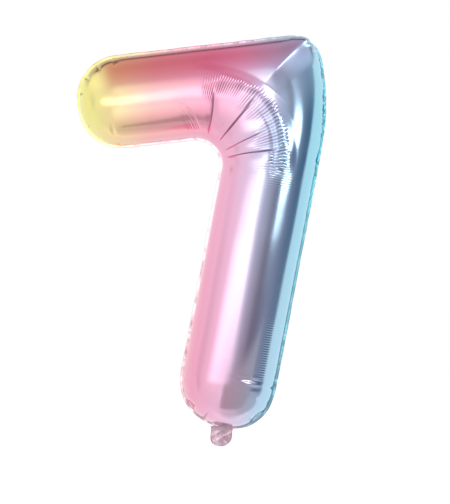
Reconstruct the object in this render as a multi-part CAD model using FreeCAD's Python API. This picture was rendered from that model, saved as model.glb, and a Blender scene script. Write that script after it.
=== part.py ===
"""Foil number balloon, numeral seven, 32 inch class, inflated.

Two printed metallised films are heat sealed together round their edge. A tail at the bottom
holds the mouth of a self-sealing valve, whose flat film tube runs on inside the envelope.

Millimetres. The origin is where the tail's films leave the perimeter seal, at the bottom of the
leg. +Z is up, +X is to the right seen from the front, and the front panel faces -Y.
"""
import math
import os

import FreeCAD
import Part

V = FreeCAD.Vector

# ---- the numeral, seen from the front -------------------------------------------------------
CORNER = V(113.0, 0, 618.0)      # where the axes of the bar and of the leg cross
BAR_TILT = 6.3                   # degrees that the bar rises towards the corner
LEG_LEAN = 10.8                  # degrees that the leg leans from upright
BAR_LENGTH = 291.0               # from the corner to the centre of the bar's round end
LEG_LENGTH = 541.5               # from the corner to the centre of the leg's round end
BAR_RADIUS = 79.5
LEG_RADIUS = 82.5
INNER_CORNER_RADIUS = 48.0
OUTER_CORNER_RADIUS = 52.0
OUTER_CORNER_SHIFT = 5.5         # outer corner arc's centre, right of the leg's axis
SHOULDER_RADIUS = 420.0          # long arc from the outer corner into the leg's right edge
CORNER_FULLNESS = 2.5            # how much deeper the corner swells than the tubes beside it

# ---- films: each stands for a real film some 0.03 mm thick ----------------------------------
PANEL_FILM = 0.6
SEAL_WIDTH = 5.0
SEAL_HALF = PANEL_FILM           # the seal is two fused films, so this is half its thickness

# ---- tail -----------------------------------------------------------------------------------
TAIL_WIDTH = 39.0
TAIL_LENGTH = 34.0
TAIL_END_RADIUS = 14.0
TAIL_FRONT_SHORTER = 4.0         # the front film is cut back, so the mouth can be found
TAIL_FILM_IN, TAIL_FILM_OUT = 0.7, 1.3     # each tail film's faces, from the middle plane
TAIL_HINGE_Z = -1.5
HINGE_GAP = 0.2

# ---- self-sealing valve ---------------------------------------------------------------------
VALVE_WIDTH = 26.0
VALVE_WELD = 2.5                 # width of each weld along the valve's edges
VALVE_LENGTH = 115.0             # of the tongue inside the envelope
VALVE_HINGE_Z = 11.0
VALVE_FILM_IN, VALVE_FILM_OUT = 0.1, 0.5
NECK_FILM_IN, NECK_FILM_OUT = 0.1, 0.35
NECK_MARGIN = 1.0                # how far the seal reaches past the valve's sides
MOUTH_FILM_IN, MOUTH_FILM_OUT = 0.3, 0.6
PRINT_HALF = 0.1                 # half the release print's thickness
MOUTH_FRONT_RECESS, MOUTH_BACK_RECESS = 8.0, 2.5   # how far short of the tail's end

# ---- how finely the inflated surface is drawn -----------------------------------------------
BEND_SECTIONS = 12
DOME_SECTIONS = 6
SECTION_SPANS = 8
BAR_SHARES = (0.1, 0.4, 0.75)              # of the way from the round end to the bend
LEG_SHARES = (0.8, 0.6, 0.4, 0.2, 0.05)    # of the way from the round end to the bend
PRECISION = 0.001
FAR = 1200.0                     # longer than the whole balloon, for cutting tools


def direction(degrees):
    """Unit vector in the XZ plane at this angle from +X towards +Z."""
    a = math.radians(degrees)
    return V(math.cos(a), 0, math.sin(a))


BAR_OUT = direction(90 + BAR_TILT)        # across the bar, towards its top edge
BAR_RIGHT = direction(BAR_TILT)           # along the bar, towards the corner
LEG_OUT = direction(-LEG_LEAN)            # across the leg, towards its right edge
LEG_UP = direction(90 - LEG_LEAN)         # along the leg, towards the corner
BAR_END = CORNER - BAR_RIGHT * BAR_LENGTH
LEG_END = CORNER - LEG_UP * LEG_LENGTH


def crossing(bar_offset, leg_offset):
    """The point at these distances across the bar and across the leg from their axes."""
    turn = math.radians(90 + BAR_TILT + LEG_LEAN)
    along = (leg_offset - bar_offset * math.cos(turn)) / math.sin(turn)
    return CORNER + BAR_OUT * bar_offset + BAR_RIGHT * along


PIVOT = crossing(-BAR_RADIUS - INNER_CORNER_RADIUS, -LEG_RADIUS - INNER_CORNER_RADIUS)
OUTER_CENTRE = crossing(BAR_RADIUS - OUTER_CORNER_RADIUS, OUTER_CORNER_SHIFT)


def shoulder_centre():
    """Centre of the long arc that is tangent to the outer corner arc and to the leg's edge."""
    across = LEG_RADIUS - SHOULDER_RADIUS
    reach = SHOULDER_RADIUS - OUTER_CORNER_RADIUS
    down = math.sqrt(reach ** 2 - (OUTER_CORNER_SHIFT - across) ** 2)
    up = (OUTER_CENTRE - CORNER).dot(LEG_UP) - down
    return CORNER + LEG_UP * up + LEG_OUT * across


SHOULDER_CENTRE = shoulder_centre()


def arc(centre, radius, start, end):
    """Arc about centre, from direction start to direction end by way of their mean."""
    middle = (start + end).normalize()
    return Part.Arc(centre + start * radius, centre + middle * radius, centre + end * radius)


def outline(grow=0.0):
    """The envelope's edge at the seal plane, moved outwards by grow, as a closed wire."""
    bar, leg = BAR_RADIUS + grow, LEG_RADIUS + grow
    inner = INNER_CORNER_RADIUS - grow
    outer, shoulder = OUTER_CORNER_RADIUS + grow, SHOULDER_RADIUS + grow
    tangent = (OUTER_CENTRE - SHOULDER_CENTRE).normalize()
    curves = [
        arc(PIVOT, inner, BAR_OUT, LEG_OUT),
        Part.LineSegment(PIVOT + LEG_OUT * inner, LEG_END - LEG_OUT * leg),
        arc(LEG_END, leg, -LEG_OUT, -LEG_UP),
        arc(LEG_END, leg, -LEG_UP, LEG_OUT),
        Part.LineSegment(LEG_END + LEG_OUT * leg, SHOULDER_CENTRE + LEG_OUT * shoulder),
        arc(SHOULDER_CENTRE, shoulder, LEG_OUT, tangent),
        arc(OUTER_CENTRE, outer, tangent, BAR_OUT),
        Part.LineSegment(OUTER_CENTRE + BAR_OUT * outer, BAR_END + BAR_OUT * bar),
        arc(BAR_END, bar, BAR_OUT, -BAR_RIGHT),
        arc(BAR_END, bar, -BAR_RIGHT, -BAR_OUT),
        Part.LineSegment(BAR_END - BAR_OUT * bar, PIVOT + BAR_OUT * inner),
    ]
    return Part.Wire([c.toShape() for c in curves])


def section(inner_point, outer_point, half_depth):
    """Front half of an oval across the tube, from inner to outer edge of the outline."""
    across = (outer_point - inner_point) * 0.5
    centre = (outer_point + inner_point) * 0.5
    angles = [math.pi * i / SECTION_SPANS for i in range(SECTION_SPANS + 1)]
    rise = half_depth - SEAL_HALF
    points = [centre - across * math.cos(a) - V(0, SEAL_HALF + rise * math.sin(a), 0)
              for a in angles]
    curve = Part.BSplineCurve()
    curve.interpolate(Points=points, Parameters=angles)
    return curve


def round_section(centre, out, radius):
    """Half circle across a tube of this radius."""
    return section(centre - out * radius, centre + out * radius, radius)


def bend_sections(grow):
    """Ovals that fan about the inner corner, from the end of the bar to the top of the leg."""
    face = Part.Face(outline(grow))
    sweep = BAR_TILT + 90 + LEG_LEAN
    found = []
    for i in range(BEND_SECTIONS + 1):
        share = i / BEND_SECTIONS
        ray = direction(90 + BAR_TILT - sweep * share)
        near = PIVOT + ray * (INNER_CORNER_RADIUS - grow)
        line = Part.makeLine(near + ray, PIVOT + ray * FAR)
        inside = line.common(face)
        far = max((v.Point for v in inside.Vertexes), key=lambda p: (p - PIVOT).Length)
        tube = BAR_RADIUS + (LEG_RADIUS - BAR_RADIUS) * share
        swell = CORNER_FULLNESS * math.sin(math.pi * share) ** 2
        found.append(section(near, far, tube + swell + grow))
    return found


def dome(centre, out, away, radius):
    """Ovals that close the tube as a quarter ball, from near its tip back to the straight."""
    found = []
    for i in range(DOME_SECTIONS, 0, -1):
        a = math.radians(90 * (i - 0.5) / DOME_SECTIONS)
        found.append(round_section(centre + away * radius * math.sin(a), out,
                                   radius * math.cos(a)))
    return found


def smooth_surface(sections, first_tip, last_tip):
    """The surface that passes through the sections and closes to a point at both tips."""
    rows = [curve.getPoles() for curve in sections]
    rows = [[first_tip] * len(rows[0])] + rows + [[last_tip] * len(rows[0])]
    knots = [0.0]
    for row, following in zip(rows, rows[1:]):
        steps = [(b - a).Length for a, b in zip(row, following)]
        knots.append(knots[-1] + sum(steps) / len(steps))
    lines = []
    for column in zip(*rows):
        line = Part.BSplineCurve()
        line.interpolate(Points=list(column), Parameters=knots)
        lines.append(line)
    across, along = sections[0], lines[0]
    surface = Part.BSplineSurface()
    surface.buildFromPolesMultsKnots(
        [line.getPoles() for line in lines],
        across.getMultiplicities(), along.getMultiplicities(),
        across.getKnots(), along.getKnots(), False, False, across.Degree, along.Degree)
    return surface.toShape()


def front_surface(grow=0.0):
    """The inflated front, from its edge at the seal, moved outwards by grow."""
    bar, leg = BAR_RADIUS + grow, LEG_RADIUS + grow
    bar_run = BAR_RIGHT * (PIVOT - BAR_END).dot(BAR_RIGHT)
    leg_run = LEG_UP * (PIVOT - LEG_END).dot(LEG_UP)
    sections = dome(BAR_END, BAR_OUT, -BAR_RIGHT, bar)
    sections += [round_section(BAR_END + bar_run * s, BAR_OUT, bar) for s in BAR_SHARES]
    sections += bend_sections(grow)
    sections += [round_section(LEG_END + leg_run * s, LEG_OUT, leg) for s in LEG_SHARES]
    sections += reversed(dome(LEG_END, LEG_OUT, -LEG_UP, leg))
    seal = V(0, -SEAL_HALF, 0)
    return smooth_surface(sections, BAR_END - BAR_RIGHT * bar + seal,
                          LEG_END - LEG_UP * leg + seal)


def rim_edges(surface):
    """The two long edges of an inflated surface, which lie on the seal."""
    return sorted(surface.Edges, key=lambda e: e.Length)[-2:]


def front_film():
    """The front film as a thin solid: an outer face, an inner face and a flat rim."""
    outside, inside = front_surface(), front_surface(-PANEL_FILM)
    rim = Part.Face([Part.Wire(rim_edges(outside)), Part.Wire(rim_edges(inside))])
    film = Part.Solid(Part.Shell([outside, inside, rim]))
    film.fix(PRECISION, PRECISION, PRECISION)
    return film


def slab(x0, x1, y0, y1, z0, z1):
    """Box between these limits."""
    return Part.makeBox(x1 - x0, y1 - y0, z1 - z0, V(x0, y0, z0))


def plate(wire, y0, y1):
    """The inside of a wire in the XZ plane, as a plate between two depths."""
    face = Part.Face(wire)
    face.translate(V(0, y0, 0))
    return face.extrude(V(0, y1 - y0, 0))


def valve_strip(z0, z1, y0, y1):
    """Flat piece of the valve's full width."""
    return slab(-VALVE_WIDTH / 2, VALVE_WIDTH / 2, y0, y1, z0, z1)


def bead(z, width):
    """Rounded edge on which a film hinges, along X."""
    return Part.makeCylinder(SEAL_HALF, width, V(-width / 2, 0, z), V(1, 0, 0))


def perimeter_seal():
    """The fused margin of both films, with the neck that the valve passes through."""
    ring = plate(outline(SEAL_WIDTH), -SEAL_HALF, SEAL_HALF)
    hollow = plate(outline(-PANEL_FILM), -SEAL_HALF, SEAL_HALF)
    half_tail, half_neck = TAIL_WIDTH / 2, VALVE_WIDTH / 2 + NECK_MARGIN
    tail_root = slab(-half_tail, half_tail, -SEAL_HALF, SEAL_HALF, TAIL_HINGE_Z, VALVE_HINGE_Z)
    neck = slab(-half_neck, half_neck, -SEAL_HALF, SEAL_HALF, 0, VALVE_HINGE_Z)
    seal = ring.fuse(tail_root).cut(hollow).fuse(neck)
    seal = seal.fuse(bead(TAIL_HINGE_Z, TAIL_WIDTH)).fuse(bead(VALVE_HINGE_Z, 2 * half_neck))
    channel = valve_strip(TAIL_HINGE_Z - SEAL_WIDTH, VALVE_HINGE_Z + SEAL_WIDTH,
                          -NECK_FILM_OUT, NECK_FILM_OUT)
    return seal.cut(channel).removeSplitter()


def tail_top():
    """Where the tail's own films start, just clear of its hinge's bead."""
    return TAIL_HINGE_Z - SEAL_HALF - HINGE_GAP


def tail_film(length, y0, y1):
    """Flat strip with a rounded lower end, from the tail's hinge down to -length."""
    half, r = TAIL_WIDTH / 2, TAIL_END_RADIUS
    strip = slab(-half, half, y0, y1, -length, tail_top())
    corners = [e for e in strip.Edges
               if e.BoundBox.ZMax < PRECISION - length and e.BoundBox.XLength < PRECISION]
    return strip.makeFillet(r, corners)


def tail_edge_seals():
    """The two fused strips down the tail's sides, between its films."""
    wide = tail_film(TAIL_LENGTH - TAIL_FRONT_SHORTER, -TAIL_FILM_IN, TAIL_FILM_IN)
    return wide.cut(valve_strip(-TAIL_LENGTH, 0, -TAIL_FILM_OUT, TAIL_FILM_OUT))


def tongue_bottom():
    """Where the tongue's films start, just clear of its hinge's bead."""
    return VALVE_HINGE_Z + SEAL_HALF + HINGE_GAP


def valve_welds():
    """The two welds that make the valve's films a tube."""
    strip = valve_strip(tongue_bottom(), VALVE_HINGE_Z + VALVE_LENGTH,
                        -VALVE_FILM_IN, VALVE_FILM_IN)
    half = VALVE_WIDTH / 2 - VALVE_WELD
    return strip.cut(slab(-half, half, -SEAL_HALF, SEAL_HALF, 0, 2 * VALVE_LENGTH))


def main():
    front = front_film()
    top, tongue = tail_top(), (tongue_bottom(), VALVE_HINGE_Z + VALVE_LENGTH)
    neck = (TAIL_HINGE_Z, VALVE_HINGE_Z)
    front_end = TAIL_LENGTH - TAIL_FRONT_SHORTER
    nodes = {
        "front_panel": front,
        "back_panel": front.mirror(V(0, 0, 0), V(0, 1, 0)),
        "perimeter_heat_seal": perimeter_seal(),
        "tail_front_film": tail_film(front_end, -TAIL_FILM_OUT, -TAIL_FILM_IN),
        "tail_back_film": tail_film(TAIL_LENGTH, TAIL_FILM_IN, TAIL_FILM_OUT),
        "tail_edge_seals": tail_edge_seals(),
        "valve_mouth_front_film": valve_strip(MOUTH_FRONT_RECESS - TAIL_LENGTH, top,
                                              -MOUTH_FILM_OUT, -MOUTH_FILM_IN),
        "valve_mouth_back_film": valve_strip(MOUTH_BACK_RECESS - TAIL_LENGTH, top,
                                             MOUTH_FILM_IN, MOUTH_FILM_OUT),
        "valve_neck_front_film": valve_strip(*neck, -NECK_FILM_OUT, -NECK_FILM_IN),
        "valve_neck_back_film": valve_strip(*neck, NECK_FILM_IN, NECK_FILM_OUT),
        "valve_release_print": valve_strip(*neck, -PRINT_HALF, PRINT_HALF),
        "valve_tongue_front_film": valve_strip(*tongue, -VALVE_FILM_OUT, -VALVE_FILM_IN),
        "valve_tongue_back_film": valve_strip(*tongue, VALVE_FILM_IN, VALVE_FILM_OUT),
        "valve_edge_welds": valve_welds(),
    }
    os.makedirs("parts", exist_ok=True)
    for name, shape in nodes.items():
        print(name, shape.isValid(), round(shape.Volume, 1), len(shape.Solids))
        shape.exportStep(f"parts/{name}.step")


main()
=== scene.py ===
"""Foil number balloon, numeral seven: the films, their creases and their print.

Metres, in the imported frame: the origin is the tail's root, +Z up, front panel towards -Y.
The films are drawn on the same outline as the CAD envelope, section by section from the bar's
round end to the leg's, then creased, rippled and puckered by displacement.
"""
import math

import bmesh
import bpy
import numpy as np
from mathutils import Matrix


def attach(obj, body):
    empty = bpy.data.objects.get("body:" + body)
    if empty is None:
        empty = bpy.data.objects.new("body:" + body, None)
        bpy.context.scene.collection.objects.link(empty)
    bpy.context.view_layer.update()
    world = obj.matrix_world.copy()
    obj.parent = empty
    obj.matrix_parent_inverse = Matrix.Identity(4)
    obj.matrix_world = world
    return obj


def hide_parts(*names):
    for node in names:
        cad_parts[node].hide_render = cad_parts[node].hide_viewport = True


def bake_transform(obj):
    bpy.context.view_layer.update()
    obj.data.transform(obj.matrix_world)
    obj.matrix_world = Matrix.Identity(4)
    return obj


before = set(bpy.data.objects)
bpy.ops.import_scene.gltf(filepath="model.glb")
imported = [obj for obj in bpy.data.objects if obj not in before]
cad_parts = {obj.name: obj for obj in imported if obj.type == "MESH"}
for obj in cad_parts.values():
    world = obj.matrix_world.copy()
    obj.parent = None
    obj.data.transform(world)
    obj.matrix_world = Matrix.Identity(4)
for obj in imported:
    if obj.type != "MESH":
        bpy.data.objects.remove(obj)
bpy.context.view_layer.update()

MM = 0.001

# ---- the numeral, as in the CAD source ------------------------------------------------------
CORNER = np.array([113.0, 618.0]) * MM
BAR_TILT, LEG_LEAN = 6.3, 10.8                # degrees
BAR_LENGTH, LEG_LENGTH = 291.0 * MM, 541.5 * MM
BAR_RADIUS, LEG_RADIUS = 79.5 * MM, 82.5 * MM
INNER_CORNER_RADIUS = 48.0 * MM
OUTER_CORNER_RADIUS, OUTER_CORNER_SHIFT = 52.0 * MM, 5.5 * MM
SHOULDER_RADIUS = 420.0 * MM
CORNER_FULLNESS = 2.5 * MM
SEAL_WIDTH = 5.0 * MM
TAIL_WIDTH, TAIL_LENGTH, TAIL_END_RADIUS = 39.0 * MM, 34.0 * MM, 14.0 * MM
SWEEP = BAR_TILT + 90 + LEG_LEAN              # degrees that the sections turn at the corner
PRINT_LEAN = 4.5                              # lean of the print's colour bands, in degrees

# ---- how finely the films are drawn ---------------------------------------------------------
ACROSS = 116                                  # spans over a section, from seam to seam
DOME_ROWS, BAR_ROWS, BEND_ROWS = 44, 54, 400
FINE_SPACING, PLAIN_SPACING = 0.9 * MM, 3.5 * MM   # of the leg's sections
RIPPLED_FROM_TOP, RIPPLED_AT_FOOT = 46.0 * MM, 130.0 * MM
END_SQUARENESS = 2.2                          # 2 is a half circle, more is squarer
MITRE_ROUNDING = 30.0 * MM                    # where the bar's tube meets the leg's
MITRE_SHARE = 0.35                            # 0 is a smooth dome at the corner, 1 a mitre
RIDGE_HEADING, RIDGE_HEIGHT, RIDGE_SPREAD = 48.2, 8.0, 28.0   # degrees, then millimetres
LEG_END_SHIFT = 4.5 * MM                      # of the leg's rounded end, towards its right


def direction(degrees):
    """Unit vector at this heading in the numeral's plane."""
    a = math.radians(degrees)
    return np.array([math.cos(a), math.sin(a)])


def smoothstep(low, high, x):
    """Smoothly from 0 at low to 1 at high; low may be the larger of the two."""
    t = np.clip((x - low) / (high - low), 0, 1)
    return t * t * (3 - 2 * t)


def window(x, start, full, waning, end):
    """Smoothly from 0 at start to 1 at full, and from 1 at waning back to 0 at end."""
    return smoothstep(start, full, x) * (1 - smoothstep(waning, end, x))


def bell(x, centre, spread):
    """A smooth hump, 1 at its centre."""
    return np.exp(-((x - centre) / spread) ** 2)


BAR_OUT, BAR_RIGHT = direction(90 + BAR_TILT), direction(BAR_TILT)
LEG_OUT, LEG_UP = direction(-LEG_LEAN), direction(90 - LEG_LEAN)
PRINT_ALONG = direction(-PRINT_LEAN)
BAR_END = CORNER - BAR_RIGHT * BAR_LENGTH
LEG_END = CORNER - LEG_UP * LEG_LENGTH


def crossing(bar_offset, leg_offset):
    """The point at these distances across the bar and across the leg from their axes."""
    turn = math.radians(SWEEP)
    along = (leg_offset - bar_offset * math.cos(turn)) / math.sin(turn)
    return CORNER + BAR_OUT * bar_offset + BAR_RIGHT * along


PIVOT = crossing(-BAR_RADIUS - INNER_CORNER_RADIUS, -LEG_RADIUS - INNER_CORNER_RADIUS)
OUTER_CENTRE = crossing(BAR_RADIUS - OUTER_CORNER_RADIUS, OUTER_CORNER_SHIFT)


def shoulder_centre():
    """Centre of the long arc that is tangent to the outer corner arc and to the leg's edge."""
    across = LEG_RADIUS - SHOULDER_RADIUS
    reach = SHOULDER_RADIUS - OUTER_CORNER_RADIUS
    down = math.sqrt(reach ** 2 - (OUTER_CORNER_SHIFT - across) ** 2)
    up = (OUTER_CENTRE - CORNER) @ LEG_UP - down
    return CORNER + LEG_UP * up + LEG_OUT * across


def arc_points(centre, radius, start, end, count):
    """Points on an arc from direction start to direction end, the short way round."""
    a0, a1 = math.atan2(start[1], start[0]), math.atan2(end[1], end[0])
    turn = (a1 - a0 + math.pi) % (2 * math.pi) - math.pi
    angles = a0 + turn * np.linspace(0, 1, count)
    return centre + radius * np.c_[np.cos(angles), np.sin(angles)]


def outer_edge():
    """The far edge of the corner, from the bar's top edge to the leg's right edge."""
    shoulder = shoulder_centre()
    tangent = (OUTER_CENTRE - shoulder) / np.linalg.norm(OUTER_CENTRE - shoulder)
    bar_start = PIVOT + BAR_OUT * (INNER_CORNER_RADIUS + 2 * BAR_RADIUS)
    leg_finish = PIVOT + LEG_OUT * (INNER_CORNER_RADIUS + 2 * LEG_RADIUS)
    return np.vstack([[bar_start],
                      arc_points(OUTER_CENTRE, OUTER_CORNER_RADIUS, BAR_OUT, tangent, 200),
                      arc_points(shoulder, SHOULDER_RADIUS, tangent, LEG_OUT, 400),
                      [leg_finish]])


def dome_rows(centre, away, out, radius, shift=0.0):
    """Section ends and depths from the tip back to the straight."""
    angle = np.radians(np.linspace(90, 0, DOME_ROWS, endpoint=False))
    along = np.sin(angle)
    half = (1 - along ** END_SQUARENESS) ** (1 / END_SQUARENESS) * radius
    half[0] = 0
    middle = centre + away * (along * radius)[:, None] + out * (along ** 2 * shift)[:, None]
    return middle - out * half[:, None], middle + out * half[:, None], half


def straight_rows(start, end, out, radius, shares):
    """Sections of a straight tube at these shares of its length."""
    middle = start + (end - start) * shares[:, None]
    return middle - out * radius, middle + out * radius, np.full(len(shares), radius)


def leg_shares(length):
    """Places of the leg's sections, closer together where the film is rippled."""
    place = np.linspace(0, length, 4000)
    rippled = (place < RIPPLED_FROM_TOP) | (place > length - RIPPLED_AT_FOOT)
    rows = np.cumsum(np.where(rippled, 1 / FINE_SPACING, 1 / PLAIN_SPACING)) * (place[1] - place[0])
    return np.interp(np.arange(int(rows[-1])), rows - rows[0], place) / length


def bend_rows():
    """Sections that fan about the inner corner."""
    share = np.linspace(0, 1, BEND_ROWS, endpoint=False)
    heading = np.radians(90 + BAR_TILT - SWEEP * share)
    ray = np.c_[np.cos(heading), np.sin(heading)]
    edge = outer_edge() - PIVOT
    edge_heading = np.arctan2(edge[:, 1], edge[:, 0])
    order = np.argsort(edge_heading)
    far = np.c_[np.interp(heading, edge_heading[order], edge[order, 0]),
                np.interp(heading, edge_heading[order], edge[order, 1])]
    depth = BAR_RADIUS + (LEG_RADIUS - BAR_RADIUS) * share
    depth = depth + CORNER_FULLNESS * np.sin(math.pi * share) ** 2
    return PIVOT + ray * INNER_CORNER_RADIUS, PIVOT + far, depth


def all_rows():
    """Inner ends, outer ends and half depths of every section, bar tip to leg tip."""
    bar_top = BAR_END + BAR_RIGHT * ((PIVOT - BAR_END) @ BAR_RIGHT)
    leg_top = LEG_END + LEG_UP * ((PIVOT - LEG_END) @ LEG_UP)
    groups = [dome_rows(BAR_END, -BAR_RIGHT, BAR_OUT, BAR_RADIUS),
              straight_rows(BAR_END, bar_top, BAR_OUT, BAR_RADIUS,
                            np.linspace(0, 1, BAR_ROWS, endpoint=False)),
              bend_rows(),
              straight_rows(leg_top, LEG_END, LEG_OUT, LEG_RADIUS,
                            leg_shares(np.linalg.norm(leg_top - LEG_END))),
              [part[::-1] for part in
               dome_rows(LEG_END, -LEG_UP, LEG_OUT, LEG_RADIUS, LEG_END_SHIFT)]]
    return [np.concatenate([g[i] for g in groups]) for i in range(3)]


INNER, OUTER, DEPTH = all_rows()
ROWS = len(DEPTH)
SEAMS = ((INNER, 0), (OUTER, ACROSS))         # each seam's points, and its column in the grid


def smooth_min(a, b, blend):
    """The smaller of two depths, rounded where they meet."""
    near = np.clip(blend - np.abs(a - b), 0, None) / blend
    return np.minimum(a, b) - near ** 2 * blend / 4


def round_profile(radius, offset):
    """Depth of a round tube at this share of its half width."""
    return radius * np.sqrt(1 - np.clip(offset, 0, 1) ** 2)


def mitred_depth(flat, to_edge):
    """Depth outside the gathered fan, where the bar's tube meets the leg's along a ridge."""
    rel = flat - CORNER
    centre = shoulder_centre() - CORNER
    rise = rel @ LEG_UP - centre @ LEG_UP
    width = centre @ LEG_OUT + np.sqrt(SHOULDER_RADIUS ** 2 - np.clip(rise, 0, None) ** 2)
    over_bar = round_profile(BAR_RADIUS, rel @ BAR_OUT / BAR_RADIUS)
    over_leg = round_profile(LEG_RADIUS, rel @ LEG_OUT / width)
    by_edge = round_profile(BAR_RADIUS, 1 - to_edge / BAR_RADIUS)
    return smooth_min(smooth_min(over_bar, over_leg, MITRE_ROUNDING), by_edge, MITRE_ROUNDING)


def about_pivot(flat):
    """Distance in millimetres and heading in degrees from the inner corner's centre."""
    rel = (flat - PIVOT) / MM
    return np.hypot(rel[..., 0], rel[..., 1]), np.degrees(np.arctan2(rel[..., 1], rel[..., 0]))


def grid_of(side):
    """The smooth inflated film on one side, as ROWS x (ACROSS + 1) points."""
    a = np.linspace(0, math.pi, ACROSS + 1)
    middle, half = (INNER + OUTER) / 2, (OUTER - INNER) / 2
    flat = middle[:, None, :] - half[:, None, :] * np.cos(a)[None, :, None]
    depth = DEPTH[:, None] * np.sin(a)[None, :]
    to_edge = np.linalg.norm(half, axis=1)[:, None] * (1 + np.cos(a))[None, :]
    distance, heading = about_pivot(flat)
    reach = fan_reach(heading)
    share = smoothstep(reach - 2, reach + 14, distance) * window(heading, -10, 6, 78, 94)
    depth = depth + (mitred_depth(flat, to_edge) - depth) * share * MITRE_SHARE
    return np.stack([flat[..., 0], side * depth, flat[..., 1]], axis=-1)


def normals_of(grid, side):
    """Unit normals that point out of the envelope."""
    along, across = np.gradient(grid, axis=0), np.gradient(grid, axis=1)
    n = np.cross(along, across)
    n /= np.linalg.norm(n, axis=-1, keepdims=True) + 1e-12
    outwards = np.sign((n[..., 1] * side).sum())
    return n * outwards


def print_place():
    """How far along the flat, printed film's colour run each point lies."""
    middle, half = (INNER + OUTER) / 2, (OUTER - INNER) / 2
    width = np.linalg.norm(half, axis=1)
    across = half / (width[:, None] + 1e-9)
    a = np.linspace(-math.pi / 2, math.pi / 2, ACROSS + 1)
    arc = (width + DEPTH)[:, None] / 2 * a[None, :]
    base = (middle - CORNER) @ PRINT_ALONG
    return base[:, None] + arc * (across @ PRINT_ALONG)[:, None]


def from_seam(column):
    """Distance of each column from a seam's column, along the round film."""
    return np.abs(np.arange(ACROSS + 1) - column) * (math.pi / ACROSS) * LEG_RADIUS


def seam_lengths(points):
    """Distance along a seam edge, row by row."""
    steps = np.linalg.norm(np.diff(points, axis=0), axis=1)
    return np.concatenate([[0], np.cumsum(steps)])


def wander(x, step, seed):
    """Smooth random values from -1 to 1 that change about every step along x."""
    r = np.random.default_rng(seed)
    count = int(np.ptp(x) / step) + 4
    knots = r.uniform(-1, 1, count)
    place = (x - x.min()) / step
    i = np.clip(place.astype(int), 0, count - 2)
    t = smoothstep(0, 1, place - i)
    return knots[i] * (1 - t) + knots[i + 1] * t


def sharp_wander(x, step, seed):
    """As wander, with straight runs that meet at folds."""
    r = np.random.default_rng(seed)
    count = int(np.ptp(x) / step * 1.6) + 6
    stops = np.cumsum(r.uniform(0.5, 1.5, count)) * step + x.min() - step
    return np.interp(x, stops, r.uniform(-1, 1, count))


# ---- creases --------------------------------------------------------------------------------
# Folds that run out from the inner corner: heading and distance from the corner's centre at
# both ends, in degrees and millimetres, then depth in millimetres.
CORNER_FOLDS = (
    (64.8, 56, 76.0, 142, 1.5),
    (43.0, 56, 47.5, 176, 1.6),
    (24.4, 58, 23.6, 144, 1.4),
    (11.6, 58, 7.5, 172, 1.5),
    (81.0, 60, 103.0, 112, 0.70),
    (84.5, 60, 106.0, 118, 0.70),
    (88.0, 60, 109.0, 116, 0.70),
    (93.0, 60, 101.0, 90, 0.60),
    (97.0, 60, 105.0, 90, 0.60),
)


CREASE_WIDTH, HOLLOW_WIDTH = 1.2, 8           # to each side of a fold, in millimetres


def folds_at_corner(grid):
    """Inward displacement of the sharp folds that fan out from the inner corner."""
    distance, heading = about_pivot(grid[..., [0, 2]])
    depth = np.zeros(distance.shape)
    for h0, r0, h1, r1, deep in CORNER_FOLDS:
        t = np.clip((distance - r0) / (r1 - r0), 0, 1)
        off = np.radians(heading - (h0 + (h1 - h0) * t)) * distance
        finish = 1 - smoothstep(r1 - 0.35 * (r1 - r0), r1 + 4, distance)
        crease = 1.3 * np.exp(-np.abs(off) / CREASE_WIDTH) * smoothstep(r0 - 5, r0 + 8, distance)
        hollow = max(deep - 0.7, 0) * bell(off, 0, HOLLOW_WIDTH)
        hollow = hollow * smoothstep(r0 - 6, r0 + 40, distance)
        depth += (deep * crease + 1.5 * hollow) * finish
    return -depth * MM


def fan_reach(heading):
    """How far from the inner corner the rippled fan reaches in mm, by heading in degrees."""
    return 163 + 13 * bell(heading, 34, 30)


def ripple_phase(heading):
    """Where a heading lies in the run of ripples, which are wider apart towards the leg."""
    fine = np.linspace(-200, 200, 8001)
    spacing = 2.1 - 0.5 * smoothstep(38, 60, fine)
    turns = np.cumsum(1 / spacing) * (fine[1] - fine[0])
    return 2 * math.pi * np.interp(heading, fine, turns)


def ripples_at_corner(grid):
    """Fine ripples that lie radially in a band round the inner corner."""
    distance, heading = about_pivot(grid[..., [0, 2]])
    reach = fan_reach(heading)
    strength = 0.65 + 0.35 * wander(-heading.ravel(), 4.0, 3).reshape(heading.shape)
    inner_edge = reach - 42 - 18 * wander(-heading.ravel(), 9.0, 4).reshape(heading.shape)
    band = window(distance, inner_edge - 12, inner_edge + 22, reach - 9, reach + 3)
    sweep = window(heading, -12, 0, 74, 88)
    rolled = 1 - smoothstep(20, 50, heading)
    height = (0.42 + 0.12 * rolled) * MM
    return height * strength * band * sweep * np.sin(ripple_phase(heading))


def fan_edge(grid):
    """The valleys round the fan's outer edge, and the ridge from it to the outer corner."""
    distance, heading = about_pivot(grid[..., [0, 2]])
    beyond = distance - fan_reach(heading)
    sweep = window(heading, -2, 16, 60, 82)
    rolled = window(heading, -14, 4, 26, 56)
    valley = -1.4 * sweep * bell(beyond, 1, 5)
    swell = 1.2 * sweep * bell(beyond, -16, 11)
    second = -1.3 * rolled * bell(beyond, -27, 4.5)
    off = np.radians(heading - RIDGE_HEADING) * distance
    roof = RIDGE_HEIGHT * np.exp(-np.sqrt(off ** 2 + 6) / RIDGE_SPREAD)
    return (valley + swell + second + roof * smoothstep(-4, 50, beyond)) * MM


# Single tucks: centre X and Z, length and width in millimetres, heading in degrees, and depth.
TUCKS = (
    (-57, 42, 9, 5, -52, 6.0),
    (66, 20, 12, 5, 40, 6.0),
    (-191, 529, 15, 1.6, 100, 1.8),
    (-187, 655, 8, 1.6, 110, 1.4),
)
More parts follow.
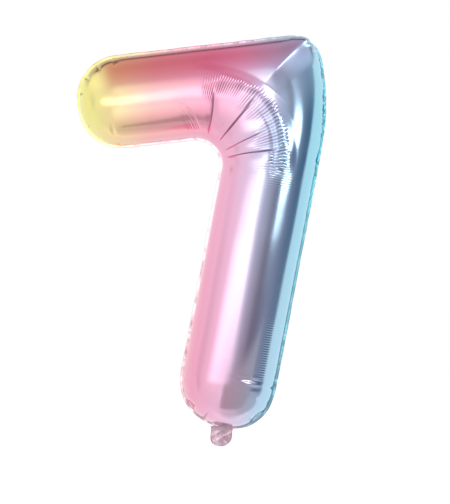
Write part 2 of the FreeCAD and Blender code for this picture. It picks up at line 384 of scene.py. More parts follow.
# Convex ends: the middle of their curve, the headings about it, in degrees, of the folds that
# pinch their seam, the curve's radius, how far in those folds run and how deep they are.
CONVEX_ENDS = (
    (BAR_END, (104, 128, 150, 172, 196, 218, 238, 264), BAR_RADIUS, 24 * MM, 2.8 * MM),
    (LEG_END, (176, 193, 216, 237, 300, 330, 350), LEG_RADIUS, 26 * MM, 2.8 * MM),
    (OUTER_CENTRE, (100, 78, 52, 30, 12, -6), OUTER_CORNER_RADIUS, 16 * MM, 1.6 * MM),
)


def folds_at_end(grid, centre, headings, radius, reach, deep, seed):
    """Short folds that run in from the seam of a convex end, and the facets between them."""
    r = np.random.default_rng(seed)
    rel = grid[..., [0, 2]] - centre
    distance = np.hypot(rel[..., 0], rel[..., 1])
    heading = np.degrees(np.arctan2(rel[..., 1], rel[..., 0]))
    inwards = np.clip(radius - distance, 0, None)
    near = smoothstep(0.45 * radius, 0.8 * radius, distance)
    out = np.zeros(distance.shape)
    for fold in headings:
        far = np.radians((heading - fold + 180) % 360 - 180) * radius
        length = reach * r.uniform(0.6, 1.4)
        depth = deep * r.uniform(0.6, 1.2)
        fade = 1 - smoothstep(0.3 * length, length, inwards)
        crease = np.exp(-np.abs(far) / (1.0 * MM + 0.04 * inwards))
        facet = np.exp(-np.abs(far) / (9 * MM))
        facet = facet * (1 - smoothstep(0.2 * length, 0.8 * length, inwards))
        out -= depth * near * (0.55 * fade * crease + 0.45 * facet)
    return out


def seam_crinkles(grid, side):
    """Fine irregular puckers beside the seam, strongest where the edge is convex."""
    out = np.zeros(grid.shape[:2])
    for outer, (edge, column) in enumerate(SEAMS):
        s = seam_lengths(edge)
        seed = 20 + 5 * outer + (side > 0)
        fine = sharp_wander(s, 5.5 * MM, seed) * 0.6 + sharp_wander(s, 13 * MM, seed + 40)
        strength = crinkle_strength(edge, outer)
        reach = 6 * MM + 9 * MM * strength
        fade = np.exp(-(from_seam(column)[None, :] / reach[:, None]) ** 1.5)
        height = 0.2 + 0.3 * strength + strength ** 2
        out += height[:, None] * MM * fine[:, None] * fade
    return out


def crinkle_strength(edge, outer):
    """From 0 on a straight seam to 1 where the seam is most gathered."""
    if not outer:
        low = 1 - smoothstep(0.10, 0.24, edge[:, 1])
        left = 1 - smoothstep(-0.22, -0.15, edge[:, 0])
        return 0.25 + 0.5 * np.maximum(low, left * 0.4)
    shoulder = smoothstep(0.34, 0.47, edge[:, 1]) * smoothstep(0.10, 0.16, edge[:, 0])
    lower = 1 - smoothstep(0.12, 0.22, edge[:, 1])
    return 0.15 + np.maximum(0.95 * shoulder, 0.5 * lower)


def tucks(grid):
    """Single tucks and creases beside the seam."""
    out = np.zeros(grid.shape[:2])
    for x, z, length, width, lean, deep in TUCKS:
        rel = (grid[..., [0, 2]] / MM) - (x, z)
        along, across = rel @ direction(lean), rel @ direction(lean + 90)
        out -= deep * np.exp(-(along / length) ** 2 - np.abs(across / width) ** 1.3)
    return out * MM


def side_ripples(grid):
    """Fine cross ripples low on the leg's right and high on it, and two pouches at its foot."""
    rel = grid[..., [0, 2]] - LEG_END
    up, out = rel @ LEG_UP / MM, rel @ LEG_OUT / MM
    ripple = np.sin(2 * math.pi * up / 4.2)
    low = 0.20 * ripple * window(up, 2, 22, 95, 135) * bell(out, 60, 8)
    high = 0.25 * ripple * (bell(up, 385, 26) * bell(out, 22, 20))
    pouches = 1.3 * np.sin(2 * math.pi * (up - 2) / 13.0)
    pouches = pouches * (bell(out, 38, 16) * bell(up, 4, 10))
    return (low + pouches + high) * MM


def gentle_unevenness(grid, seed):
    """The slow waver of a real film under pressure."""
    s = seam_lengths((INNER + OUTER) / 2)
    out = np.zeros(grid.shape[:2])
    columns = np.arange(ACROSS + 1) / ACROSS
    for k in range(4):
        along = wander(s, (60 + 25 * k) * MM, seed + k)
        out += along[:, None] * np.sin(math.pi * (k + 1) * columns)[None, :]
    return out * 0.25 * MM


def seam_drift(s):
    """How far the seam wanders out of its plane, along its length."""
    return (sharp_wander(s, 14 * MM, 81) * 0.5 + sharp_wander(s, 38 * MM, 82) * 0.5) * 0.9 * MM


def painted_fold_shade_share(folds, ripples):
    """How closed the film is in its folds and ripples, from 0 on open film to 1."""
    # this is the share of painted shade that darkens the print in folds and ripples
    pinched = 0.85 * np.clip(-folds / MM - 1.5, 0, 1)
    return np.clip(pinched + np.clip(-ripples, 0, None) / (0.62 * MM), 0, 1)


def film_grid(side):
    """One inflated film with all its creases, and how closed they are, for the painted fold shade.
    """
    smooth = grid_of(side)
    n = normals_of(smooth, side)
    seed = 50 if side < 0 else 70
    folds, ripples = folds_at_corner(smooth), ripples_at_corner(smooth)
    h = folds + ripples + fan_edge(smooth)
    for k, end in enumerate(CONVEX_ENDS):
        h += folds_at_end(smooth, *end, seed + k)
    h += tucks(smooth) + seam_crinkles(smooth, side) + side_ripples(smooth)
    h += gentle_unevenness(smooth, seed)
    rim = np.sin(np.linspace(0, math.pi, ACROSS + 1))[None, :]
    h *= smoothstep(0.0, 0.10, rim)
    grid = smooth + n * h[..., None]
    for edge, column in SEAMS:
        drift = seam_drift(seam_lengths(edge))
        grid[..., 1] += drift[:, None] * np.exp(-from_seam(column) / (10 * MM))[None, :]
    return grid, painted_fold_shade_share(folds, ripples)


# ---- meshes ---------------------------------------------------------------------------------
def grid_faces(rows, columns, flip):
    """Quads over a grid of points that are listed row by row."""
    faces = []
    for i in range(rows - 1):
        for j in range(columns - 1):
            a, b = i * columns + j, (i + 1) * columns + j
            quad = (a, a + 1, b + 1, b)
            faces.append(quad[::-1] if flip else quad)
    return faces


def mesh_object(name, points, faces, layers=None, merge=0.0):
    """Smooth-shaded object from points and faces, with named float values for each point."""
    mesh = bpy.data.meshes.new(name)
    mesh.from_pydata([tuple(p) for p in points], [], faces)
    for label, values in (layers or {}).items():
        layer = mesh.attributes.new(label, "FLOAT", "POINT")
        layer.data.foreach_set("value", np.asarray(values, dtype=np.float32))
    if merge:
        bm = bmesh.new()
        bm.from_mesh(mesh)
        bmesh.ops.remove_doubles(bm, verts=bm.verts, dist=merge)
        bm.to_mesh(mesh)
        bm.free()
    mesh.polygons.foreach_set("use_smooth", [True] * len(mesh.polygons))
    obj = bpy.data.objects.new(name, mesh)
    bpy.context.scene.collection.objects.link(obj)
    return obj


def thicken(obj, thickness):
    """Give a film its thickness, half to each side."""
    film = obj.modifiers.new("film", "SOLIDIFY")
    film.thickness = thickness
    film.offset = 0


def make_panel(name, side, node, material):
    """One inflated, printed film."""
    # creases, kept as the point value 'crease', is the share of painted shade in folds and ripples
    grid, creases = film_grid(side)
    layers = {"print_place": print_place().ravel() / MM, "crease": creases.ravel()}
    faces = grid_faces(ROWS, ACROSS + 1, flip=side > 0)
    obj = mesh_object(name, grid.reshape(-1, 3), faces, layers, merge=1e-6)
    obj.data.materials.append(material)
    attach(obj, "envelope")
    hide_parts(node)
    return obj


def seam_loop():
    """The seam all the way round, with its outward normals, drift and print place."""
    loop = np.vstack([OUTER, INNER[-2:0:-1]])
    place = print_place()
    place = np.concatenate([place[:, -1], place[-2:0:-1, 0]])
    drift = np.concatenate([seam_drift(seam_lengths(OUTER)),
                            seam_drift(seam_lengths(INNER))[-2:0:-1]])
    tangent = np.roll(loop, -1, axis=0) - np.roll(loop, 1, axis=0)
    tangent /= np.linalg.norm(tangent, axis=1, keepdims=True) + 1e-12
    return loop, np.c_[-tangent[:, 1], tangent[:, 0]], drift, place


MARGIN_SPANS = 5
MARGIN_OVERLAP = 0.12                         # share of its width that lies inside the seam
BARE_OUTSIDE, BARE_INSIDE = 0.15, 1.0         # how silver the margin's two sides can be


def make_margin(material):
    """The fused margin outside the seam, thin, wavy and a little uneven in width."""
    loop, out, drift, place = seam_loop()
    s = seam_lengths(loop)
    width = SEAL_WIDTH * (1 + 0.10 * wander(s, 22 * MM, 91))
    wave = sharp_wander(s, 9 * MM, 92) * 0.9 + sharp_wander(s, 4 * MM, 93) * 0.4
    gathered = np.concatenate([crinkle_strength(OUTER, 1), crinkle_strength(INNER, 0)[-2:0:-1]])
    wave *= 0.25 + gathered
    points, values = [], []
    for k in range(MARGIN_SPANS + 1):
        t = k / MARGIN_SPANS
        flat = loop + out * (width * (t - MARGIN_OVERLAP))[:, None]
        points.append(np.c_[flat[:, 0], drift + wave * t * MM, flat[:, 1]])
        values.append((place + out @ PRINT_ALONG * width * t) / MM)
    count = len(loop)
    faces = []
    for k in range(MARGIN_SPANS):
        for i in range(count):
            j = (i + 1) % count
            faces.append((k * count + i, k * count + j, (k + 1) * count + j, (k + 1) * count + i))
    bare = np.concatenate([np.full(len(OUTER), BARE_OUTSIDE),
                           np.full(count - len(OUTER), BARE_INSIDE)])
    layers = {"print_place": np.concatenate(values), "bare": np.tile(bare, MARGIN_SPANS + 1)}
    obj = mesh_object("sealed_margin", np.vstack(points), faces, layers)
    thicken(obj, 0.25 * MM)
    obj.data.materials.append(material)
    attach(obj, "envelope")
    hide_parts("perimeter_heat_seal")
    return obj


# ---- tail and the valve's mouth -------------------------------------------------------------
TAIL_LEAN = 0.10                              # how far it hangs to the left, per length
TAIL_TOP = 3.0 * MM                           # how far the films run up past the tail's root
TAIL_CORNER_RADIUS = TAIL_END_RADIUS + 3 * MM
VALVE_HALF_WIDTH, VALVE_CORNER_RADIUS = 13 * MM, 2 * MM
TAIL_COLUMNS, TAIL_ROWS = 40, 44

# Films below the seal: piece, the CAD nodes that it stands for, half width, how much shorter it
# is than the tail, where it lies and how far it bulges towards the back, and the radius of its
# lower corners.
TAIL_FILMS = (
    ("tail_front", ("tail_front_film",),
     TAIL_WIDTH / 2, 4 * MM, -0.8 * MM, -1.6 * MM, TAIL_CORNER_RADIUS),
    ("tail_back", ("tail_back_film", "tail_edge_seals"),
     TAIL_WIDTH / 2, 0, 0.8 * MM, 0.8 * MM, TAIL_CORNER_RADIUS),
)
VALVE_MOUTH_FILMS = (
    ("valve_mouth_front", ("valve_mouth_front_film",),
     VALVE_HALF_WIDTH, 8 * MM, -0.3 * MM, -1.0 * MM, VALVE_CORNER_RADIUS),
    ("valve_mouth_back", ("valve_mouth_back_film",),
     VALVE_HALF_WIDTH, 2.5 * MM, 0.3 * MM, 0.5 * MM, VALVE_CORNER_RADIUS),
)


def tail_wave(x, z):
    """Out-of-plane wrinkles of the tail's films."""
    down = smoothstep(0.0, -12 * MM, z)
    wave = 1.2 * np.sin(x / MM * 0.24 + z / MM * 0.10 + 0.9)
    wave += 0.7 * np.abs(np.sin(x / MM * 0.13 - z / MM * 0.22 + 2.0))
    wave += 0.35 * np.abs(np.sin(x / MM * 0.30 + z / MM * 0.34 + 0.4))
    return wave * down * 0.8 * MM


def make_tail_film(name, nodes, half_width, shorter, offset, bulge, end_radius, material):
    """A flat film of the tail or the valve's mouth, with the wrinkles that they all share."""
    length = TAIL_LENGTH - shorter
    z = np.linspace(TAIL_TOP, -length, TAIL_ROWS)
    x = np.linspace(-1, 1, TAIL_COLUMNS)
    depth_in = np.clip(-length + end_radius - z, 0, end_radius)
    half = half_width - end_radius + np.sqrt(np.clip(end_radius ** 2 - depth_in ** 2, 0, None))
    half = np.minimum(half, half_width)
    flare = 1 + 0.05 * smoothstep(-4 * MM, TAIL_TOP, z)
    X = half[:, None] * x[None, :] * flare[:, None]
    Z = np.broadcast_to(z[:, None], X.shape)
    open_up = bulge * (1 - np.abs(X / half_width) ** 2.5)
    Y = offset + open_up * smoothstep(0, -length, Z) + tail_wave(X, Z)
    X = X + TAIL_LEAN * np.minimum(Z, 0)
    grid = np.stack([X, Y, Z], axis=-1)
    faces = grid_faces(TAIL_ROWS, TAIL_COLUMNS, flip=offset > 0)
    obj = mesh_object(name, grid.reshape(-1, 3), faces)
    thicken(obj, 0.12 * MM)
    obj.data.materials.append(material)
    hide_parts(*nodes)
    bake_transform(obj)
    return obj


# ---- shader nodes ---------------------------------------------------------------------------
def new_material(name):
    """A material, its node tree and its shader."""
    material = bpy.data.materials.new(name)
    material.use_nodes = True
    tree = material.node_tree
    return material, tree, tree.nodes["Principled BSDF"]


def add(tree, kind, **inputs):
    """A node with these values; an underscore in an input's name stands for a space."""
    node = tree.nodes.new(kind)
    for key, value in inputs.items():
        node.inputs[key.replace("_", " ")].default_value = value
    return node


def attribute(tree, name, output="Fac"):
    """A value that the mesh's points carry."""
    node = tree.nodes.new("ShaderNodeAttribute")
    node.attribute_name = name
    return node.outputs[output]


def set_or_link(tree, socket, value):
    """Give a socket a plain value, or the output of another node."""
    if isinstance(value, (int, float)):
        socket.default_value = value
    elif isinstance(value, tuple):
        socket.default_value = (*value, 1)
    else:
        tree.links.new(value, socket)


def math_node(tree, operation, a, b=None):
    """The result of a sum on one value or two."""
    node = tree.nodes.new("ShaderNodeMath")
    node.operation = operation
    set_or_link(tree, node.inputs[0], a)
    if b is not None:
        set_or_link(tree, node.inputs[1], b)
    return node.outputs[0]


def product(tree, first, *others):
    """All these values multiplied."""
    for other in others:
        first = math_node(tree, "MULTIPLY", first, other)
    return first


def map_range(tree, value, **limits):
    """A value carried over from one range to another."""
    node = add(tree, "ShaderNodeMapRange", **limits)
    tree.links.new(value, node.inputs["Value"])
    return node.outputs["Result"]


def soft_edge(tree, value, low, high):
    """Smoothly from 0 at low to 1 at high; low may be the larger of the two."""
    node = tree.nodes.new("ShaderNodeMapRange")
    node.interpolation_type = "SMOOTHSTEP"
    tree.links.new(value, node.inputs["Value"])
    set_or_link(tree, node.inputs["From Min"], low)
    set_or_link(tree, node.inputs["From Max"], high)
    return node.outputs["Result"]


def colour_ramp(tree, value, stops):
    """Colour by a value from 0 to 1, with stops as (value, (r, g, b))."""
    ramp = tree.nodes.new("ShaderNodeValToRGB")
    elements = ramp.color_ramp.elements
    while len(elements) < len(stops):
        elements.new(0.5)
    for element, (at, colour) in zip(elements, stops):
        element.position = at
        element.color = (*colour, 1)
    tree.links.new(value, ramp.inputs["Fac"])
    return ramp.outputs["Color"]


def ramp_node(tree, value, low, high, stops):
    """As colour_ramp, for a value from low to high."""
    share = map_range(tree, value, From_Min=low, From_Max=high)
    return colour_ramp(tree, share, [((at - low) / (high - low), colour) for at, colour in stops])


def mix_node(tree, share, first, second, kind="MIX"):
    """The first colour with this share of the second mixed in."""
    node = tree.nodes.new("ShaderNodeMix")
    node.data_type = "RGBA"
    node.blend_type = kind
    set_or_link(tree, node.inputs["Factor"], share)
    set_or_link(tree, node.inputs[6], first)
    set_or_link(tree, node.inputs[7], second)
    return node.outputs[2]


# ---- materials ------------------------------------------------------------------------------
# The print's inks, linear, and their places across the flat film in millimetres.
PRINT = (
    (-420, (0.88, 0.84, 0.14)),               # lemon
    (-330, (0.90, 0.82, 0.32)),               # cream
    (-230, (0.90, 0.48, 0.46)),               # coral
    (-130, (0.90, 0.40, 0.55)),               # rose
    (-80, (0.88, 0.50, 0.67)),                # orchid
    (0, (0.50, 0.67, 0.86)),                  # periwinkle
    (80, (0.34, 0.72, 0.86)),                 # sky blue
    (150, (0.10, 0.62, 0.74)),                # cyan
)
PRINT_LOW, PRINT_HIGH = PRINT[0][0], PRINT[-1][0]
SILVER = (0.88, 0.84, 0.87)                   # the unprinted margin
# How far the margin has thinned out to silver, at these places across the flat film.
SILVER_SHARES = ((-365, 0.25), (-200, 0.45), (-150, 0.80), (-60, 0.80), (40, 0.12))
FOLD_SHADE = (0.36, 0.34, 0.42)               # painted shade on the print's square where the foil is closed
TAIL_DARK, TAIL_LIGHT = (0.62, 0.42, 0.51), (0.84, 0.64, 0.73)


def film_bump(tree, shader, fine, coarse):
    """Slight orange peel and slow waver in the film's gloss; gives the coordinates it used."""
    place = tree.nodes.new("ShaderNodeTexCoord")
    small = add(tree, "ShaderNodeTexNoise", Scale=420.0, Detail=2.0)
    large = add(tree, "ShaderNodeTexNoise", Scale=26.0, Detail=2.0)
    first = add(tree, "ShaderNodeBump", Strength=fine, Distance=0.0004)
    second = add(tree, "ShaderNodeBump", Strength=coarse, Distance=0.004)
    for noise, bump in ((small, first), (large, second)):
        tree.links.new(place.outputs["Object"], noise.inputs["Vector"])
        tree.links.new(noise.outputs["Fac"], bump.inputs["Height"])
    tree.links.new(first.outputs["Normal"], second.inputs["Normal"])
    tree.links.new(second.outputs["Normal"], shader.inputs["Normal"])
    return place


def object_noise(tree, scale, detail):
    """Noise over the object's own coordinates, from 0 to 1."""
    place = tree.nodes.new("ShaderNodeTexCoord")
    noise = add(tree, "ShaderNodeTexNoise", Scale=scale, Detail=detail)
    tree.links.new(place.outputs["Object"], noise.inputs["Vector"])
    return noise.outputs["Fac"]


def pale_print(tree, colour):
    """The print on the margin, which thins out to silver along the numeral's inner side."""
    stops = [(at, (share, share, share)) for at, share in SILVER_SHARES]
    fade = ramp_node(tree, attribute(tree, "print_place"), PRINT_LOW, PRINT_HIGH, stops)
    return mix_node(tree, product(tree, fade, attribute(tree, "bare")), colour, SILVER)


def print_with_painted_fold_shade(tree, colour):
    """The print, with painted shade, deeper and darker, in closed folds where the foil reflects
    itself.
    """
    twice = mix_node(tree, 1.0, colour, colour, "MULTIPLY")
    deep = mix_node(tree, 1.0, twice, FOLD_SHADE, "MULTIPLY")
    # the 'crease' value mixes in this painted shade
    return mix_node(tree, attribute(tree, "crease"), colour, deep)


def foil_material(name, roughness, fine, coarse, pale=False):
    """Printed, metallised film."""
    material, tree, shader = new_material(name)
    colour = ramp_node(tree, attribute(tree, "print_place"), PRINT_LOW, PRINT_HIGH, PRINT)
    colour = pale_print(tree, colour) if pale else print_with_painted_fold_shade(tree, colour)
    tree.links.new(colour, shader.inputs["Base Color"])
    shader.inputs["Metallic"].default_value = 1.0
    place = film_bump(tree, shader, fine, coarse)
    mottle = add(tree, "ShaderNodeTexNoise", Scale=9.0, Detail=3.0)
    tree.links.new(place.outputs["Object"], mottle.inputs["Vector"])
    spread = map_range(tree, mottle.outputs["Fac"], To_Min=roughness * 0.85, To_Max=roughness * 1.2)
    tree.links.new(spread, shader.inputs["Roughness"])
    return material


def tail_material():
    """Thin pinkish film that lets some light through."""
    material, tree, shader = new_material("tail_foil")
    noise = object_noise(tree, 70.0, 4.0)
    colour = colour_ramp(tree, noise, ((0.35, TAIL_DARK), (0.65, TAIL_LIGHT)))
    tree.links.new(colour, shader.inputs["Base Color"])
    shader.inputs["Metallic"].default_value = 0.7
    shader.inputs["Roughness"].default_value = 0.28
    shader.inputs["Alpha"].default_value = 0.85
    film_bump(tree, shader, 0.15, 0.3)
    return material


def clear_film_material(name, colour, alpha):
    """Thin polyethylene, or the ink printed on it."""
    material, tree, shader = new_material(name)
    darker = tuple(0.9 * c for c in colour)
    mottled = colour_ramp(tree, object_noise(tree, 160.0, 3.0), ((0.0, darker), (1.0, colour)))
    tree.links.new(mottled, shader.inputs["Base Color"])
    shader.inputs["Roughness"].default_value = 0.3
    shader.inputs["Alpha"].default_value = alpha
    return material


# ---- studio ---------------------------------------------------------------------------------
# Colours of the surroundings by direction: x is to the right, y to the back, z up, from -1 to 1.
FRONT = (                                     # from left to right
    (-1.0, (0.80, 0.78, 0.80)),
    (-0.97, (0.82, 0.80, 0.82)),
    (-0.92, (0.96, 0.96, 0.97)),
    (-0.60, (1.00, 1.00, 1.01)),
    (-0.02, (0.95, 0.95, 0.98)),
    (0.12, (0.56, 0.58, 0.62)),
    (0.34, (0.48, 0.45, 0.48)),
    (0.52, (0.29, 0.25, 0.28)),
    (0.70, (0.26, 0.23, 0.28)),
    (0.90, (0.30, 0.25, 0.33)),
    (0.97, (0.20, 0.20, 0.28)),
    (1.0, (0.10, 0.16, 0.25)),
)
CEILING = (                                   # from the horizon to straight up
    (0.0, (1.0, 1.0, 1.0)),
    (0.45, (0.84, 0.70, 0.82)),
    (0.75, (0.76, 0.50, 0.60)),
    (0.95, (0.70, 0.36, 0.44)),
    (1.0, (0.66, 0.31, 0.38)),
)
FLOOR = (                                     # from straight down towards the horizon
    (-1.0, (0.76, 0.74, 0.72)),
    (-0.92, (0.84, 0.82, 0.80)),
    (-0.74, (1.08, 1.06, 1.06)),
    (-0.50, (1.35, 1.35, 1.36)),
)
BEHIND = (                                    # the sweep, from straight down towards the horizon
    (-1.0, (0.84, 0.82, 0.82)),
    (-0.94, (1.10, 1.08, 1.06)),
    (-0.80, (0.98, 0.98, 0.99)),
)
BEHIND_HIGH = (0.62, 0.55, 0.58)
FRONT_RIGHT_LOW, FRONT_RIGHT_HIGH = (0.64, 0.64, 0.70), (1.30, 1.22, 1.22)   # factors
CEILING_LEFT = (1.1, 1.1, 1.12)
FLOOR_RIGHT, FLOOR_LEFT = (0.62, 0.62, 0.63), (0.94, 0.94, 0.95)
DARK_LINE = (0.18, 0.04, 0.06)
STRIP_GLOW = (3.2, 3.2, 3.2)
SEEN_WHITE = (1.0, 1.0, 1.0)

# Softboxes and screens: name, lower left corner, the vectors across it and up it, its glow, and
# the shares of its left, its right and its height over which it fades out.
CARDS = (
    ("key_softbox", (-3.2, -2.0, -0.08), (3.21, 0, 0), (0, 0, 1.06),
     (1.9, 1.9, 1.9), (0.64, 0.04, 0.42)),
    ("bar_softbox", (-0.80, -1.0, 0.50), (0.80, 0, 0), (0, 0, 0.90),
     (1.1, 1.1, 1.12), (0.6, 0.15, 0.5)),
    ("bar_glow", (-0.32, -0.97, 0.12), (0.34, 0, 0), (0, 0, 0.90),
     (1.9, 1.9, 1.95), (0.55, 0.2, 0.5)),
    ("right_softbox", (0.98, -1.14, 0.20), (0.50, 0.44, 0), (0, 0, 0.48),
     (8.0, 8.0, 8.0), (0.2, 0.45, 0.35)),
    ("low_screen", (-0.28, -0.35, -0.70), (0.80, 0, 0), (0.23, 0, 0.80),
     (0.52, 0.48, 0.48), (0.06, 0.3, 0.07)),
)
CARD_SPANS = 8
FLOOR_SIZE, FLOOR_HEIGHT, FLOOR_SPANS = 12.0, -0.30, 12

CAMERA_DISTANCE, CAMERA_AZIMUTH = 3.2, 1.5    # metres, and degrees to the right of straight on
CAMERA_TARGET = np.array([0.0054, 0.0, 0.315])
SEEN_HEIGHT = 0.9047                          # how much of the target's plane fills the picture
SENSOR = 36.0                                 # millimetres, along the picture's longer side


def studio_front(tree, x, z):
    """The studio in front; its right is darker low down and brighter high up."""
    front = ramp_node(tree, x, -1.0, 1.0, FRONT)
    low = mix_node(tree, 1.0, front, FRONT_RIGHT_LOW, "MULTIPLY")
    high = mix_node(tree, 1.0, front, FRONT_RIGHT_HIGH, "MULTIPLY")
    graded = mix_node(tree, soft_edge(tree, z, -0.24, 0.12), low, high)
    right = product(tree, soft_edge(tree, x, 0.05, 0.25), soft_edge(tree, x, 0.88, 0.60))
    return mix_node(tree, right, front, graded)


def add_ceiling(tree, studio, x, up):
    """The tinted ceiling, which is white on the left."""
    ceiling = ramp_node(tree, up, 0.0, 1.0, CEILING)
    studio = mix_node(tree, soft_edge(tree, up, 0.0, 0.50), studio, ceiling)
    left = product(tree, soft_edge(tree, x, -0.30, -0.90), soft_edge(tree, up, 0.05, 0.60))
    return mix_node(tree, left, studio, CEILING_LEFT)


def add_ground(tree, studio, x, down):
    """The pale ground, greyer on the right and whiter on the left."""
    ground = ramp_node(tree, down, -1.0, 0.0, FLOOR)
    ground = mix_node(tree, soft_edge(tree, x, 0.05, 0.45), ground, FLOOR_RIGHT)
    ground = mix_node(tree, soft_edge(tree, x, -0.10, -0.45), ground, FLOOR_LEFT)
    return mix_node(tree, soft_edge(tree, down, -0.15, -0.50), studio, ground)


def add_dark_line(tree, studio, x, y, up, edge):
    """The thin dark red line in front of the sweep's edge, overhead."""
    line = soft_edge(tree, y, math_node(tree, "SUBTRACT", edge, 0.38),
                     math_node(tree, "SUBTRACT", edge, 0.10))
    line = product(tree, line, soft_edge(tree, up, 0.25, 0.6), soft_edge(tree, x, -0.75, -0.45))
    return mix_node(tree, line, studio, DARK_LINE)


def add_strip_light(tree, studio, x, z):
    """A long soft strip that hangs up and to the right, pointing down at the corner."""
    off = math_node(tree, "SUBTRACT", product(tree, x, 0.74), product(tree, z, 0.67))
    out = math_node(tree, "ADD", x, z)
    share = product(tree, soft_edge(tree, math_node(tree, "ABSOLUTE", off), 0.10, 0.03),
                    soft_edge(tree, out, 0.30, 0.60), soft_edge(tree, out, 1.45, 1.25))
    return mix_node(tree, share, studio, STRIP_GLOW)


def add_sweep(tree, studio, y, up, down, edge):
    """The white sweep behind, which greys overhead."""
    sweep = soft_edge(tree, y, math_node(tree, "SUBTRACT", edge, 0.05),
                      math_node(tree, "ADD", edge, 0.04))
    behind = ramp_node(tree, down, -1.0, 0.0, BEHIND)
    behind = mix_node(tree, soft_edge(tree, up, 0.25, 0.55), behind, BEHIND_HIGH)
    return mix_node(tree, sweep, studio, behind)


def make_world():
    """The surroundings that the foil reflects; the camera itself sees plain white."""
    world = bpy.data.worlds.new("studio")
    bpy.context.scene.world = world
    world.use_nodes = True
    tree = world.node_tree
    tree.nodes.clear()
    place = tree.nodes.new("ShaderNodeTexCoord")
    split = tree.nodes.new("ShaderNodeSeparateXYZ")
    tree.links.new(place.outputs["Generated"], split.inputs[0])
    x, y, z = split.outputs
    up, down = math_node(tree, "MAXIMUM", z, 0.0), math_node(tree, "MINIMUM", z, 0.0)
    edge = math_node(tree, "ADD", up, product(tree, x, 0.14))
    edge = math_node(tree, "ADD", edge, 0.03)
    studio = add_ceiling(tree, studio_front(tree, x, z), x, up)
    studio = add_ground(tree, studio, x, down)
    studio = add_dark_line(tree, studio, x, y, up, edge)
    studio = add_strip_light(tree, studio, x, z)
    studio = add_sweep(tree, studio, y, up, down, edge)
    seen = tree.nodes.new("ShaderNodeLightPath")
    studio = mix_node(tree, seen.outputs["Is Camera Ray"], studio, SEEN_WHITE)
    light = tree.nodes.new("ShaderNodeBackground")
    out = tree.nodes.new("ShaderNodeOutputWorld")
    tree.links.new(studio, light.inputs["Color"])
    tree.links.new(light.outputs[0], out.inputs["Surface"])


def soft_card_material(name, colour, fade):
    """Glow that fades to clear at the edges; fade is its share of the left, right and height."""
    material, tree, shader = new_material(name)
    tree.nodes.remove(shader)
    split = tree.nodes.new("ShaderNodeSeparateXYZ")
    tree.links.new(attribute(tree, "card_place", "Vector"), split.inputs[0])
    u, v = split.outputs[0], split.outputs[1]
    left, right, height = fade
    share = product(tree, soft_edge(tree, u, 0.0, left), soft_edge(tree, u, 1.0, 1.0 - right),
                    soft_edge(tree, v, 0.0, height), soft_edge(tree, v, 1.0, 1.0 - height))
    clear = tree.nodes.new("ShaderNodeBsdfTransparent")
    glow = tree.nodes.new("ShaderNodeEmission")
    glow.inputs["Color"].default_value = (*colour, 1)
    mix = tree.nodes.new("ShaderNodeMixShader")
    tree.links.new(share, mix.inputs["Fac"])
    tree.links.new(clear.outputs[0], mix.inputs[1])
    tree.links.new(glow.outputs[0], mix.inputs[2])
    tree.links.new(mix.outputs[0], tree.nodes["Material Output"].inputs["Surface"])
    return material


def make_card(name, corner, across, up, colour, fade):
    """A softbox or screen, which the camera doesn't see and which casts no shadow."""
    c, a, u = (np.array(v, dtype=float) for v in (corner, across, up))
    line = [i / CARD_SPANS for i in range(CARD_SPANS + 1)]
    shares = [(i, j) for j in line for i in line]
    points = [tuple(c + a * i + u * j) for i, j in shares]
    obj = mesh_object(name, points, grid_faces(CARD_SPANS + 1, CARD_SPANS + 1, flip=False))
    layer = obj.data.attributes.new("card_place", "FLOAT_VECTOR", "POINT")
    layer.data.foreach_set("vector", np.array([(i, j, 0) for i, j in shares]).ravel())
    obj.data.materials.append(soft_card_material(name, colour, fade))
    obj.visible_camera = False
    obj.visible_shadow = False
    return obj


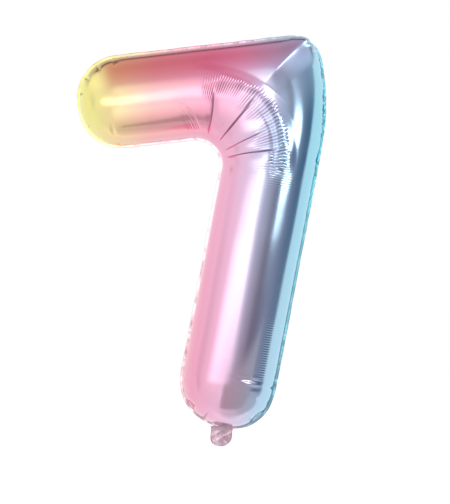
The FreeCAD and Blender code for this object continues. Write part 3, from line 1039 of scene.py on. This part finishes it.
def make_floor():
    """Plain white floor, well below the tail, which the foil doesn't reflect."""
    line = np.linspace(-FLOOR_SIZE / 2, FLOOR_SIZE / 2, FLOOR_SPANS + 1)
    points = [(x, y, FLOOR_HEIGHT) for y in line for x in line]
    obj = mesh_object("floor", points, grid_faces(FLOOR_SPANS + 1, FLOOR_SPANS + 1, flip=False))
    material, _, shader = new_material("floor")
    shader.inputs["Base Color"].default_value = (0.95, 0.95, 0.95, 1)
    shader.inputs["Roughness"].default_value = 0.9
    shader.inputs["Emission Color"].default_value = (1, 1, 1, 1)
    shader.inputs["Emission Strength"].default_value = 0.45
    obj.data.materials.append(material)
    obj.visible_glossy = False


def make_camera():
    """Level, a little to the right of straight on, from far off."""
    data = bpy.data.cameras.new("camera")
    obj = bpy.data.objects.new("camera", data)
    bpy.context.scene.collection.objects.link(obj)
    bpy.context.scene.camera = obj
    azimuth = math.radians(CAMERA_AZIMUTH)
    away = np.array([math.sin(azimuth), -math.cos(azimuth), 0])
    data.sensor_width = SENSOR
    data.lens = SENSOR * CAMERA_DISTANCE / SEEN_HEIGHT
    obj.location = CAMERA_TARGET + CAMERA_DISTANCE * away
    obj.rotation_euler = (math.pi / 2, 0, azimuth)


# ---- the whole scene ------------------------------------------------------------------------
def dress_inner_valve(clear, ink):
    """Materials for the pieces inside the balloon, which keep their CAD shapes."""
    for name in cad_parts:
        obj = bpy.data.objects.get(name)
        if obj is None or obj.hide_render:
            continue
        for material_slot in obj.material_slots:
            material_slot.material = ink if "print" in name else clear


def main():
    """Build every piece, then the studio and the camera."""
    bpy.context.scene.view_settings.view_transform = "Standard"
    foil = foil_material("printed_foil", 0.17, 0.04, 0.02)
    margin = foil_material("sealed_margin_foil", 0.22, 0.3, 0.3, pale=True)
    make_panel("front_film", -1, "front_panel", foil)
    make_panel("back_film", 1, "back_panel", foil)
    make_margin(margin)
    tail = tail_material()
    for film in TAIL_FILMS:
        make_tail_film(*film, tail)
    clear = clear_film_material("valve_film", (0.85, 0.87, 0.90), 0.5)
    ink = clear_film_material("release_ink", (0.90, 0.88, 0.82), 1.0)
    for film in VALVE_MOUTH_FILMS:
        make_tail_film(*film, clear)
    dress_inner_valve(clear, ink)
    make_floor()
    make_world()
    for card in CARDS:
        make_card(*card)
    make_camera()


main()
